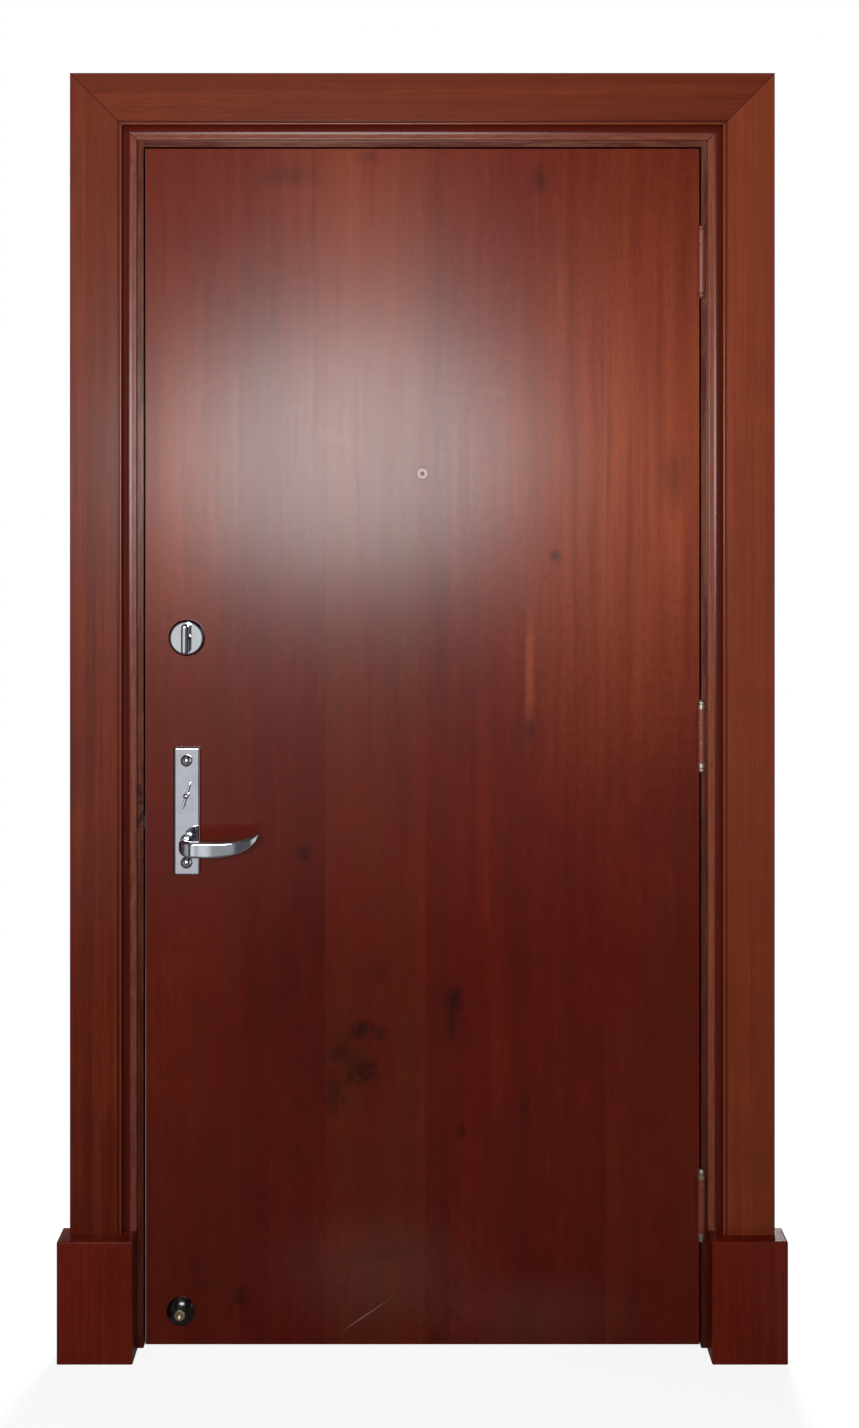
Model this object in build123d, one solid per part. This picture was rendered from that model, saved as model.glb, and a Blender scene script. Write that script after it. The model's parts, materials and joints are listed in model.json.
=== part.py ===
from build123d import *
import math
import os

os.makedirs("parts", exist_ok=True)

# Lengths are in millimetres. +Z is up, the room is on the -Y side and the hinges are on the +X side.
# The origin is at floor level, in the middle of the doorway and of the leaf's thickness.

# Leaf: two skins on a frame of stiles and rails around a solid core
leaf_width = 950
leaf_height = 2050
leaf_thickness = 45
skin_thickness = 6
stile_width = 112
rail_height = 120
floor_gap = 6
edge_gap = 3
leaf_arris = 1

# Frame: jambs with the stop cut in one piece
jamb_thickness = 40
jamb_depth = 107
stop_step = 13
seal_gap = 3
jamb_arris = 1.5
fixing_radius = 4
fixing_head_radius = 8
fixing_head_depth = 5
fixing_centre_height = 1050
fixing_spans = (1240, 640)
head_fixing_span = 500

# Seal in the stop
seal_width = 8
seal_inset = 1.5
seal_touch_gap = 0.3
stem_width = 3
stem_depth = 6

# Casing moulding, from its inner edge outwards, and plinth blocks
reveal = 10
lip_width = 7
lip_height = 8.5
lip_round = 2.5
cove_width = 15.5
cove_depth = 11
cove_sag = 3.5
bead_radius = 2.5
quirk_width = 3
flat_width = 80.5
casing_arris = 2
inner_land = 34
outer_land = 12
relief_depth = 2.5
plinth_height = 206
plinth_depth = 44
plinth_overhang = 17
plinth_arris = 3

# Butt hinges with loose pins
hinge_top_inset = 195
hinge_bottom_inset = 243
hinge_middle_share = 0.4975
hinge_length = 100
knuckle_count = 5
knuckle_gap = 0.3
barrel_radius = 6.5
barrel_stand_off = 1
barrel_clearance = 0.5
pin_radius = 3.5
pin_clearance = 0.05
hinge_plate_thickness = 2.5
hinge_plate_reach = 40
tip_height = 13
tip_stem_length = 12
# Each point: radius and height as shares
tip_shape_shares = (
    (1, 0),
    (1, 0.24),
    (0.7, 0.3),
    (0.7, 0.38),
    (0.95, 0.48),
    (0.95, 0.68),
    (0.6, 0.92),
    (0, 1),
)
# Each screw: rise and reach as shares
hinge_screw_shares = ((-0.36, 0.42), (-0.13, 0.72), (0.13, 0.42), (0.36, 0.72))

# Screws
screw_head_radius = 4
screw_head_depth = 2
screw_shank_radius = 2
screw_length = 24
screw_clearance = 0.1

# Lever lock and its plates
backset = 72
plate_width = 46
plate_end = 22.5
plate_corner = 4
plate_thickness = 7
plate_arris = 3.5
bolt_below_lever = 37.5
bolt_above_snib = 59.5
bolt_head_radius = 10
bolt_head_rim = 2
bolt_head_height = 8.5
bolt_radius = 2.5
post_radius = 5
post_length = 30
bolt_end_gap = 8
lever_height = 872
snib_rise = 77
latch_rise = 26
wood_clearance = 0.3
case_wall = 2
case_half_thickness = 8
case_depth = 97
case_wood = 8
forend_thickness = 3
forend_half_width = 11
forend_below = 56
forend_above = 77
forend_screw_inset = 9

# Lever, spindle and follower
journal_radius = 9
journal_clearance = 0.05
bush_wall = 2
spindle_side = 8
spindle_seat = 22
spindle_clearance = 0.05
spindle_bore = 14
lever_length = 126
lever_reach = 58
lever_full_height = 27
lever_full_thickness = 17
section_round_share = 0.92
# Each station: along, out, rise, height and thickness as shares, and the way the lever heads, in degrees
lever_station_shares = (
    (0, 0, 0, 0.667, 1, 90),
    (0, 0.22, 0, 0.6, 0.94, 90),
    (0, 0.5, 0, 0.72, 0.92, 88),
    (0.02, 0.72, -0.02, 0.92, 0.84, 68),
    (0.09, 0.885, -0.05, 1, 0.66, 32),
    (0.2, 0.925, -0.06, 1, 0.58, 6),
    (0.45, 0.915, -0.07, 0.98, 0.54, -4),
    (0.68, 0.85, 0, 0.86, 0.5, -15),
    (0.85, 0.73, 0.17, 0.68, 0.46, -30),
    (0.96, 0.57, 0.47, 0.38, 0.38, -50),
    (0.995, 0.48, 0.63, 0.2, 0.26, -62),
)
follower_radius = 11
follower_half_thickness = 5.5
arm_reach = 17
arm_tip_radius = 3
latch_half_thickness = 5.7
latch_half_height = 10
latch_throw = 12
latch_flat_share = 0.35
latch_body_length = 35
tail_half_thickness = 3
tail_half_height = 3
tail_gap = 0.8
lug_length = 6
lug_drop = 9

# Second bolt and its slim turn on the plate
snib_length = 44
snib_width = 4
snib_stand = 3
snib_thickness = 4.5
snib_arris = 1.2
snib_lean = 16
snib_hub_radius = 4.8
snib_hub_rim = 7
snib_hub_height = 10.5
snib_spindle_radius = 3
snib_cam_radius = 9
snib_cam_half_thickness = 4
turn_clearance = 0.3
lock_bolt_half_thickness = 4.5
lock_bolt_half_height = 15
lock_bolt_length = 48
slide_clearance = 0.3
key_cylinder_radius = 10
key_cylinder_stand = 3
keyway_width = 2.6
keyway_height = 9
keyway_depth = 6

# Dead bolt with its rose and thumb turn
deadbolt_rise = 269
cross_bore_radius = 20
rose_radius = 31
rose_wall = 4
rose_height = 9
rose_bevel_width = 3
rose_bevel_height = 3.5
rose_skin = 2.5
turn_hub_radius = 8
turn_hub_height = 4
turn_length = 52
turn_width = 11.5
turn_reach = 24
turn_arris = 4.8
turn_tail_radius = 5
tube_radius = 11.5
tube_length = 92
dead_bolt_radius = 8
dead_bolt_length = 49
dead_bolt_chamfer = 1
bolt_clearance = 0.06
deadbolt_forend_half_width = 12.5
deadbolt_forend_half_height = 28.5
deadbolt_screw_offset = 21
outer_collar_radius = 30
outer_collar_face_radius = 22
outer_collar_rim = 4
outer_collar_height = 15
outer_core_radius = 14
outer_core_length = 8

# Strikes on the lock jamb
strike_thickness = 2.5
strike_half_width = 12
pocket_depth = 23
pocket_clearance = 1.5

# Door viewer
viewer_height = 1499
viewer_flange_radius = 10.25
viewer_flange_height = 2.5
viewer_bevel = 1
viewer_tube_radius = 7
viewer_bore_radius = 3.5
viewer_lens_depth = 5
viewer_lens_thickness = 2

# Door stop low on the leaf
stop_inset = 61
stop_height = 64
stop_base_radius = 24
stop_base_rim = 3
stop_base_height = 13
stop_seat_height = 8.5
stop_tip_radius = 9.5
stop_tip_height = 15.5
stop_tip_bevel = 1.5
stop_recess_radius = 4.5
stop_recess_depth = 4
stop_screw_radius = 3
stop_screw_length = 26

# Derived positions
lock_side, hinge_side = -1, 1
room, outdoors = -1, 1
quarter_turn = 90
mitre_side = math.sqrt(1 / 2)
standing = (Align.CENTER, Align.CENTER, Align.MIN)
leaf_left = -leaf_width / 2
leaf_right = leaf_width / 2
leaf_front = -leaf_thickness / 2
leaf_back = leaf_thickness / 2
leaf_bottom = floor_gap
leaf_top = floor_gap + leaf_height
rebate_half = leaf_right + edge_gap
stop_half = rebate_half - stop_step
jamb_half = rebate_half + jamb_thickness
rebate_top = leaf_top + edge_gap
stop_top = rebate_top - stop_step
jamb_top = rebate_top + jamb_thickness
jamb_front = leaf_front
stop_face = leaf_back + seal_gap
jamb_back = jamb_front + jamb_depth
casing_inner = rebate_half + reveal
casing_inner_top = rebate_top + reveal
casing_width = lip_width + cove_width + bead_radius * 2 + quirk_width + flat_width
casing_outer = casing_inner + casing_width
casing_bottom = plinth_height
groove_height = lip_height + cove_depth
casing_depth = groove_height + bead_radius
fixing_heights = [fixing_centre_height + way * span / 2 for span in fixing_spans for way in (-1, 1)]
hinge_low = leaf_bottom + hinge_bottom_inset
hinge_high = leaf_top - hinge_top_inset
hinge_heights = {
    "top": hinge_high,
    "middle": hinge_low + (hinge_high - hinge_low) * hinge_middle_share,
    "bottom": hinge_low,
}
hinge_x = leaf_right + edge_gap / 2
hinge_y = leaf_front - barrel_radius - barrel_stand_off
hinge_plate_back = hinge_y + hinge_plate_reach
knuckle_pitch = hinge_length / knuckle_count
frame_knuckles = range(0, knuckle_count, 2)
door_knuckles = range(1, knuckle_count, 2)
lock_x = leaf_left + backset
snib_height = lever_height + snib_rise
deadbolt_height = snib_height + deadbolt_rise
plate_front = leaf_front - plate_thickness
plate_bolt_heights = [lever_height - bolt_below_lever, snib_height + bolt_above_snib]
plate_centre_height = sum(plate_bolt_heights) / 2
plate_height = plate_bolt_heights[1] - plate_bolt_heights[0] + plate_end * 2
bush_radius = journal_radius + journal_clearance + bush_wall
case_front = leaf_left + forend_thickness
case_back = leaf_left + case_depth
case_bottom = plate_bolt_heights[0] + post_radius + case_wood
case_top = plate_bolt_heights[1] - post_radius - case_wood
cavity_half = case_half_thickness - case_wall
forend_bottom = lever_height - forend_below
forend_top = snib_height + forend_above
latch_height = lever_height + latch_rise
tube_end = leaf_left + tube_length
strike_face = -rebate_half
strike_back = strike_face - strike_thickness
pocket_end = strike_face - pocket_depth
stop_x = leaf_left + stop_inset


def block(x0, x1, y0, y1, z0, z1):
    """Box between two limits on each axis."""
    middle = Pos((x0 + x1) / 2, (y0 + y1) / 2, (z0 + z1) / 2)
    return middle * Box(abs(x1 - x0), abs(y1 - y0), abs(z1 - z0))


def rod_x(radius, x0, x1, y, z):
    rod = Cylinder(radius, abs(x1 - x0), align=standing)
    return Pos(min(x0, x1), y, z) * Rot(0, quarter_turn, 0) * rod


def rod_y(radius, y0, y1, x, z):
    rod = Cylinder(radius, abs(y1 - y0), align=standing)
    return Pos(x, min(y0, y1), z) * Rot(-quarter_turn, 0, 0) * rod


def rod_z(radius, z0, z1, x, y):
    return Pos(x, y, min(z0, z1)) * Cylinder(radius, abs(z1 - z0), align=standing)


def turned(points):
    """Solid turned about Z from a closed outline of (radius, height) points."""
    outline = Polyline([(radius, 0, height) for radius, height in points], close=True)
    return revolve(make_face(outline), Axis.Z)


def dome(radius, rim, height):
    """Round head with a straight rim and a spherical cap."""
    rise = height - rim
    sphere = (radius**2 + rise**2) / (rise * 2)
    half_angle = math.asin(min(radius / sphere, 1)) / 2
    middle = (sphere * math.sin(half_angle), 0, height - sphere + sphere * math.cos(half_angle))
    sides = Polyline((0, 0, height), (0, 0, 0), (radius, 0, 0), (radius, 0, rim))
    cap = ThreePointArc((radius, 0, rim), middle, (0, 0, height))
    return revolve(make_face([*sides.edges(), cap]), Axis.Z)


def on_leaf(solid, x, z, way):
    """Sets a solid that stands up along Z on the room or outdoor face of the leaf."""
    return Pos(x, way * leaf_back, z) * Rot(-quarter_turn * way, 0, 0) * solid


def screw(clearance):
    """Countersunk screw pointing along Z, or with a clearance, the hole that it sits in."""
    head, shank = screw_head_radius + clearance, screw_shank_radius + clearance
    end = screw_length + clearance
    return turned([(0, 0), (head, 0), (shank, screw_head_depth), (shank, end), (0, end)])


def screw_x(x, y, z, way, clearance):
    return Pos(x, y, z) * Rot(0, quarter_turn * way, 0) * screw(clearance)


def group(solids):
    return Compound(children=[part for solid in solids for part in solid.solids()])


# Frame


def fixing_head():
    """Countersink of a wall screw's hole."""
    deep = fixing_head_depth
    return turned([(0, 0), (fixing_head_radius, 0), (fixing_radius, deep), (0, deep)])


def fixing_hole(side, height):
    """Countersunk hole for a wall screw through a side jamb."""
    hole = rod_x(fixing_radius, side * rebate_half, side * jamb_half, 0, height)
    head = Rot(0, quarter_turn * side, 0) * fixing_head()
    return hole + Pos(side * rebate_half, 0, height) * head


def side_stem(side):
    """Room for the stem of the seal in the stop of a side jamb."""
    middle = stop_half + seal_inset + seal_width / 2
    near, far = side * (middle - stem_width / 2), side * (middle + stem_width / 2)
    return block(near, far, stop_face, stop_face + stem_depth, 0, stop_top)


def head_stem():
    middle = stop_top + seal_inset + seal_width / 2
    reach = stop_half + seal_inset + seal_width
    low, high = middle - stem_width / 2, middle + stem_width / 2
    return block(-reach, reach, stop_face, stop_face + stem_depth, low, high)


def side_jamb(side):
    face = block(side * rebate_half, side * jamb_half, jamb_front, jamb_back, 0, jamb_top)
    stop = block(side * stop_half, side * rebate_half, stop_face, jamb_back, 0, stop_top)
    corner = (side * stop_half, jamb_back, stop_top / 2)
    stop_edge = (stop.edges() | Axis.Z).sort_by_distance(corner)[0]
    jamb = face + fillet(stop_edge, jamb_arris) - side_stem(side)
    for height in fixing_heights:
        jamb -= fixing_hole(side, height)
    return jamb


def lock_jamb():
    jamb = side_jamb(lock_side) - latch_strike_blank() - deadbolt_strike_blank()
    jamb -= latch_pocket(strike_back, pocket_end) + lock_bolt_pocket(strike_back, pocket_end)
    jamb -= rod_x(dead_bolt_radius + pocket_clearance, strike_back, pocket_end, 0, deadbolt_height)
    for height in strike_screw_heights():
        jamb -= screw_x(strike_face, 0, height, lock_side, screw_clearance)
    return jamb


def hinge_jamb():
    jamb = side_jamb(hinge_side)
    recess_end = rebate_half + hinge_plate_thickness
    for height in hinge_heights.values():
        low, high = height - hinge_length / 2, height + hinge_length / 2
        jamb -= block(rebate_half, recess_end, jamb_front, hinge_plate_back, low, high)
        for solid in hinge_screws(height, hinge_side, screw_clearance):
            jamb -= solid
    return jamb


def head_jamb():
    face = block(-rebate_half, rebate_half, jamb_front, jamb_back, rebate_top, jamb_top)
    stop = block(-rebate_half, rebate_half, stop_face, jamb_back, stop_top, rebate_top)
    jamb = face + stop - head_stem()
    for x in (-head_fixing_span / 2, head_fixing_span / 2):
        jamb -= rod_z(fixing_radius, rebate_top, jamb_top, x, 0)
        jamb -= Pos(x, 0, rebate_top) * fixing_head()
    return jamb


def casing_section():
    """Outline of the moulding: X outwards from the inner edge, -Y out from the wall."""
    bead_start = lip_width + cove_width
    bead_end = bead_start + bead_radius * 2
    flat_start = bead_end + quirk_width
    lip_turn = lip_round * (1 - mitre_side)
    chord = math.hypot(cove_width, cove_depth)
    lip_start, lip_middle = (0, lip_round - lip_height), (lip_turn, lip_turn - lip_height)
    lip = ThreePointArc(lip_start, lip_middle, (lip_round, -lip_height))
    cove_x = lip_width + cove_width / 2 + cove_sag * cove_depth / chord
    cove_middle = (cove_x, cove_sag * cove_width / chord - lip_height - cove_depth / 2)
    cove = ThreePointArc((lip_width, -lip_height), cove_middle, (bead_start, -groove_height))
    bead_top = (bead_start + bead_radius, -casing_depth)
    bead = ThreePointArc((bead_start, -groove_height), bead_top, (bead_end, -groove_height))
    shelf = Line((lip_round, -lip_height), (lip_width, -lip_height))
    face = Polyline(
        (bead_end, -groove_height),
        (flat_start, -groove_height),
        (flat_start, -casing_depth),
        (casing_width, -casing_depth),
        (casing_width, 0),
        (casing_width - outer_land, 0),
        (casing_width - outer_land, -relief_depth),
        (inner_land, -relief_depth),
        (inner_land, 0),
        (0, 0),
        (0, lip_round - lip_height),
    )
    return make_face([lip, shelf, cove, bead, *face.edges()])


def casing_bar(length):
    bar = extrude(casing_section(), length)
    outer = (bar.edges() | Axis.Z).sort_by_distance((casing_width, -casing_depth, length / 2))[0]
    return fillet(outer, casing_arris)


def mitre_plane(side):
    corner = (side * casing_inner, 0, casing_inner_top)
    return Plane(corner, x_dir=(0, 1, 0), z_dir=(-side, 0, 1))


def hinge_casing():
    length = casing_inner_top + casing_width - casing_bottom
    bar = Pos(casing_inner, jamb_front, casing_bottom) * casing_bar(length)
    return split(bar, mitre_plane(hinge_side), Keep.BOTTOM)


def head_casing():
    bar = Rot(0, -quarter_turn, 0) * casing_bar(casing_outer * 2)
    bar = Pos(casing_outer, jamb_front, casing_inner_top) * bar
    bar = split(bar, mitre_plane(hinge_side), Keep.TOP)
    return split(bar, mitre_plane(lock_side), Keep.TOP)


def hinge_plinth():
    front = jamb_front - plinth_depth
    body = block(casing_inner, casing_outer + plinth_overhang, front, jamb_front, 0, plinth_height)
    top_edges = body.faces().sort_by(Axis.Z)[-1].edges().sort_by(Axis.Y)[:-1]
    upright_edges = (body.edges() | Axis.Z).sort_by(Axis.Y)[:2]
    return fillet([*top_edges, *upright_edges], plinth_arris)


def side_seal(side):
    near, far = side * (stop_half + seal_inset), side * (stop_half + seal_inset + seal_width)
    return block(near, far, leaf_back + seal_touch_gap, stop_face, 0, stop_top) + side_stem(side)


def head_seal():
    reach = stop_half + seal_inset + seal_width
    low, high = stop_top + seal_inset, stop_top + seal_inset + seal_width
    return block(-reach, reach, leaf_back + seal_touch_gap, stop_face, low, high) + head_stem()


def latch_strike_blank():
    half = strike_half_width
    return block(strike_face, strike_back, -half, half, forend_bottom, forend_top)


def deadbolt_strike_blank():
    half, tall = strike_half_width, deadbolt_forend_half_height
    return block(strike_face, strike_back, -half, half, deadbolt_height - tall, deadbolt_height + tall)


def bolt_pocket(x0, x1, half_thickness, half_height, height):
    y, z = half_thickness + pocket_clearance, half_height + pocket_clearance
    return block(x0, x1, -y, y, height - z, height + z)


def latch_pocket(x0, x1):
    return bolt_pocket(x0, x1, latch_half_thickness, latch_half_height, latch_height)


def lock_bolt_pocket(x0, x1):
    return bolt_pocket(x0, x1, lock_bolt_half_thickness, lock_bolt_half_height, snib_height)


def lock_screw_heights():
    return [forend_bottom + forend_screw_inset, forend_top - forend_screw_inset]


def deadbolt_screw_heights():
    return [deadbolt_height + way * deadbolt_screw_offset for way in (-1, 1)]


def strike_screw_heights():
    return lock_screw_heights() + deadbolt_screw_heights()


def latch_strike():
    plate = latch_strike_blank() - latch_pocket(strike_face, strike_back)
    plate -= lock_bolt_pocket(strike_face, strike_back)
    for height in lock_screw_heights():
        plate -= screw_x(strike_face, 0, height, lock_side, screw_clearance)
    return plate


def deadbolt_strike():
    plate = deadbolt_strike_blank()
    plate -= rod_x(dead_bolt_radius + pocket_clearance, strike_face, strike_back, 0, deadbolt_height)
    for height in deadbolt_screw_heights():
        plate -= screw_x(strike_face, 0, height, lock_side, screw_clearance)
    return plate


# Hinges


def knuckle_limits(index, height, widen):
    low = height - hinge_length / 2 + index * knuckle_pitch
    return low - widen, low + knuckle_pitch - knuckle_gap + widen


def hinge_screws(height, side, clearance):
    """Screws of one hinge plate, on the leaf side or the frame side."""
    x = hinge_x + side * edge_gap / 2
    screws = []
    for rise, reach in hinge_screw_shares:
        y, z = hinge_y + reach * hinge_plate_reach, height + rise * hinge_length
        screws.append(screw_x(x, y, z, side, clearance))
    return screws


def hinge_plate(height, side, own, others):
    """One half of a hinge: a plate with its own knuckles, notched around the other half's."""
    near = hinge_x + side * edge_gap / 2
    low, high = height - hinge_length / 2, height + hinge_length / 2
    half = block(near, near + side * hinge_plate_thickness, hinge_y, hinge_plate_back, low, high)
    for index in others:
        limits = knuckle_limits(index, height, knuckle_gap)
        half -= rod_z(barrel_radius + barrel_clearance, *limits, hinge_x, hinge_y)
    for index in own:
        half += rod_z(barrel_radius, *knuckle_limits(index, height, 0), hinge_x, hinge_y)
    half -= rod_z(pin_radius + pin_clearance, low, high, hinge_x, hinge_y)
    for solid in hinge_screws(height, side, screw_clearance):
        half -= solid
    return half


def hinge_tip():
    outline = [(radius * barrel_radius, rise * tip_height) for radius, rise in tip_shape_shares]
    return turned([(0, 0), *outline])


def hinge_pins():
    pins = []
    for height in hinge_heights.values():
        low, high = height - hinge_length / 2, height + hinge_length / 2
        shank = rod_z(pin_radius, low + tip_stem_length, high, hinge_x, hinge_y)
        pins.append(shank + Pos(hinge_x, hinge_y, high) * hinge_tip())
    return group(pins)


def hinge_tips():
    tips = []
    for height in hinge_heights.values():
        low = height - hinge_length / 2
        stem = rod_z(pin_radius, low, low + tip_stem_length - knuckle_gap, hinge_x, hinge_y)
        tips.append(stem + Pos(hinge_x, hinge_y, low) * Rot(quarter_turn * 2, 0, 0) * hinge_tip())
    return group(tips)


# Leaf


def lock_cuts():
    """Holes through the leaf at the lock side."""
    cuts = rod_y(spindle_bore, leaf_front, leaf_back, lock_x, lever_height)
    cuts += rod_y(key_cylinder_radius + wood_clearance, leaf_front, leaf_back, lock_x, snib_height)
    for height in plate_bolt_heights:
        cuts += rod_y(post_radius + wood_clearance, leaf_front, leaf_back, lock_x, height)
    cuts += rod_y(cross_bore_radius, leaf_front, leaf_back, lock_x, deadbolt_height)
    hole = stop_screw_radius + screw_clearance
    return cuts + rod_y(hole, leaf_front, leaf_front + stop_screw_length, stop_x, stop_height)


def viewer_cut():
    return rod_y(viewer_tube_radius + wood_clearance, leaf_front, leaf_back, 0, viewer_height)


def hinge_cuts():
    """Recesses for the hinge plates in the edge of the leaf."""
    cuts = []
    inner = leaf_right - hinge_plate_thickness
    for height in hinge_heights.values():
        low, high = height - hinge_length / 2, height + hinge_length / 2
        cuts.append(block(inner, leaf_right, leaf_front, hinge_plate_back, low, high))
        cuts += hinge_screws(height, lock_side, screw_clearance)
    return cuts


def skin(way):
    inner = way * (leaf_back - skin_thickness)
    panel = block(leaf_left, leaf_right, inner, way * leaf_back, leaf_bottom, leaf_top)
    face = panel.faces().sort_by(Axis.Y)[0 if way == room else -1]
    return fillet(face.edges(), leaf_arris) - lock_cuts() - viewer_cut()


def front_panel():
    return skin(room) - hinge_cuts()


def inner_block(x0, x1, z0, z1):
    return block(x0, x1, leaf_front + skin_thickness, leaf_back - skin_thickness, z0, z1)


def lock_stile():
    stile = inner_block(leaf_left, leaf_left + stile_width, leaf_bottom, leaf_top) - lock_cuts()
    half = case_half_thickness + wood_clearance
    low, high = case_bottom - wood_clearance, case_top + wood_clearance
    stile -= block(leaf_left, case_back + wood_clearance, -half, half, low, high)
    stile -= lock_forend_blank() + deadbolt_forend_blank()
    stile -= rod_x(tube_radius + wood_clearance, leaf_left, tube_end + wood_clearance, 0, deadbolt_height)
    for height in strike_screw_heights():
        stile -= screw_x(leaf_left, 0, height, hinge_side, screw_clearance)
    return stile


def hinge_stile():
    return inner_block(leaf_right - stile_width, leaf_right, leaf_bottom, leaf_top) - hinge_cuts()


def rail(low, high):
    return inner_block(leaf_left + stile_width, leaf_right - stile_width, low, high)


def core():
    return rail(leaf_bottom + rail_height, leaf_top - rail_height) - viewer_cut()


# Lever lock


def lock_forend_blank():
    half = forend_half_width
    return block(leaf_left, case_front, -half, half, forend_bottom, forend_top)


def sliding_slot(half_thickness, half_height, height):
    y, z = half_thickness + slide_clearance, half_height + slide_clearance
    return block(leaf_left, case_front, -y, y, height - z, height + z)


def lock_forend():
    plate = lock_forend_blank() - sliding_slot(latch_half_thickness, latch_half_height, latch_height)
    plate -= sliding_slot(lock_bolt_half_thickness, lock_bolt_half_height, snib_height)
    for height in lock_screw_heights():
        plate -= screw_x(leaf_left, 0, height, hinge_side, screw_clearance)
    return plate


def case_journal_hole():
    hole, half = journal_radius + journal_clearance, case_half_thickness
    return rod_y(hole, -half, half, lock_x, lever_height)


def lock_case():
    body = block(case_front, case_back, -case_half_thickness, cavity_half, case_bottom, case_top)
    low, high = case_bottom + case_wall, case_top - case_wall
    body -= block(case_front, case_back - case_wall, -cavity_half, cavity_half, low, high)
    body -= case_journal_hole()
    return body - rod_y(snib_spindle_radius + turn_clearance, -case_half_thickness, 0, lock_x, snib_height)


def lock_cover():
    cover = block(case_front, case_back, cavity_half, case_half_thickness, case_bottom, case_top)
    return cover - case_journal_hole()


def plate_blank():
    plate = extrude(RectangleRounded(plate_width, plate_height, plate_corner), plate_thickness)
    return fillet(plate.faces().sort_by(Axis.Z)[-1].edges(), plate_arris)


def inside_plate():
    plate = on_leaf(plate_blank(), lock_x, plate_centre_height, room)
    plate -= rod_y(bush_radius, plate_front, leaf_front, lock_x, lever_height)
    plate -= rod_y(snib_spindle_radius + turn_clearance, plate_front, leaf_front, lock_x, snib_height)
    for height in plate_bolt_heights:
        plate -= rod_y(bolt_radius + screw_clearance, plate_front, leaf_front, lock_x, height)
    return plate


def outside_plate():
    plate = on_leaf(plate_blank(), lock_x, plate_centre_height, outdoors)
    plate -= rod_y(bush_radius, leaf_back, -plate_front, lock_x, lever_height)
    plate -= rod_y(key_cylinder_radius, leaf_back, -plate_front, lock_x, snib_height)
    bolt_end = leaf_back - bolt_end_gap
    for height in plate_bolt_heights:
        plate += rod_y(post_radius, leaf_back - post_length, leaf_back, lock_x, height)
        plate -= rod_y(bolt_radius + screw_clearance, leaf_back - post_length, bolt_end, lock_x, height)
    return plate


def plate_bolts():
    bolts = []
    head = Pos(0, 0, plate_thickness) * dome(bolt_head_radius, bolt_head_rim, bolt_head_height)
    for height in plate_bolt_heights:
        shank = rod_y(bolt_radius, plate_front, leaf_back - bolt_end_gap - bolt_radius, lock_x, height)
        bolts.append(on_leaf(head, lock_x, height, room) + shank)
    return group(bolts)


def lever_bushes():
    bushes = []
    bore = journal_radius + journal_clearance
    for near, far in ((plate_front, leaf_front), (leaf_back, -plate_front)):
        ring = rod_y(bush_radius, near, far, lock_x, lever_height)
        bushes.append(ring - rod_y(bore, near, far, lock_x, lever_height))
    return group(bushes)


def keyway(x, face, z):
    half, tall = keyway_width / 2, keyway_height / 2
    return block(x - half, x + half, face - keyway_depth, face, z - tall, z + tall)


def key_cylinder():
    face = key_cylinder_stand - plate_front
    cylinder = rod_y(key_cylinder_radius, case_half_thickness, face, lock_x, snib_height)
    return cylinder - keyway(lock_x, face, snib_height)


def lever_section(along, out, rise, height, thickness, heading):
    """Rounded section of the lever, square to the way the lever heads."""
    angle = math.radians(heading)
    x, y = lock_x + along * lever_length, plate_front - out * lever_reach
    z = lever_height + rise * lever_full_height
    across = Plane((x, y, z), x_dir=(0, 0, 1), z_dir=(math.cos(angle), -math.sin(angle), 0))
    tall, thick = height * lever_full_height, thickness * lever_full_thickness
    return across * RectangleRounded(tall, thick, section_round_share * min(tall, thick) / 2)


def spindle_bar(y0, y1, clearance):
    half = spindle_side / 2 + clearance
    return block(lock_x - half, lock_x + half, y0, y1, lever_height - half, lever_height + half)


def inside_lever():
    grip = loft([lever_section(*station) for station in lever_station_shares])
    journal = rod_y(journal_radius, plate_front, leaf_front, lock_x, lever_height)
    return grip + journal - spindle_bar(leaf_front - spindle_seat, leaf_front, spindle_clearance)


def lever_spindle():
    return spindle_bar(leaf_front - spindle_seat, leaf_back + spindle_seat, 0)


def lever_follower():
    half = follower_half_thickness
    hub = rod_y(follower_radius, -half, half, lock_x, lever_height)
    hub += rod_y(journal_radius, -case_half_thickness, case_half_thickness, lock_x, lever_height)
    arm_end = lever_height + arm_reach
    wide, thick = arm_tip_radius, tail_half_thickness
    arm = block(lock_x - wide, lock_x + wide, -thick, thick, lever_height, arm_end)
    arm += rod_y(wide, -thick, thick, lock_x, arm_end)
    return hub + arm - spindle_bar(-case_half_thickness, case_half_thickness, spindle_clearance)


def latch_bolt():
    """Sprung latch: a head bevelled on its closing side, a tail, and a lug for the follower's arm."""
    tip = leaf_left - latch_throw
    heel = leaf_left + latch_body_length
    flat = latch_half_thickness * (latch_flat_share * 2 - 1)
    outline = Polyline(
        (tip, -latch_half_thickness),
        (heel, -latch_half_thickness),
        (heel, latch_half_thickness),
        (leaf_left, latch_half_thickness),
        (tip, flat),
        close=True,
    )
    head = extrude(make_face(outline), latch_half_height * 2)
    head = Pos(0, 0, latch_height - latch_half_height) * head
    lug_start = lock_x + arm_tip_radius + tail_gap
    lug_end = lug_start + lug_length
    thick = tail_half_thickness
    low, high = latch_height - tail_half_height, latch_height + tail_half_height
    tail = block(heel, lug_end, -thick, thick, low, high)
    return head + tail + block(lug_start, lug_end, -thick, thick, latch_height - lug_drop, low)


def rounded_bar(length, width, reach, arris):
    bar = Rot(0, 0, quarter_turn) * extrude(SlotOverall(length, width), reach)
    return fillet(bar.faces().sort_by(Axis.Z)[-1].edges(), arris)


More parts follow.
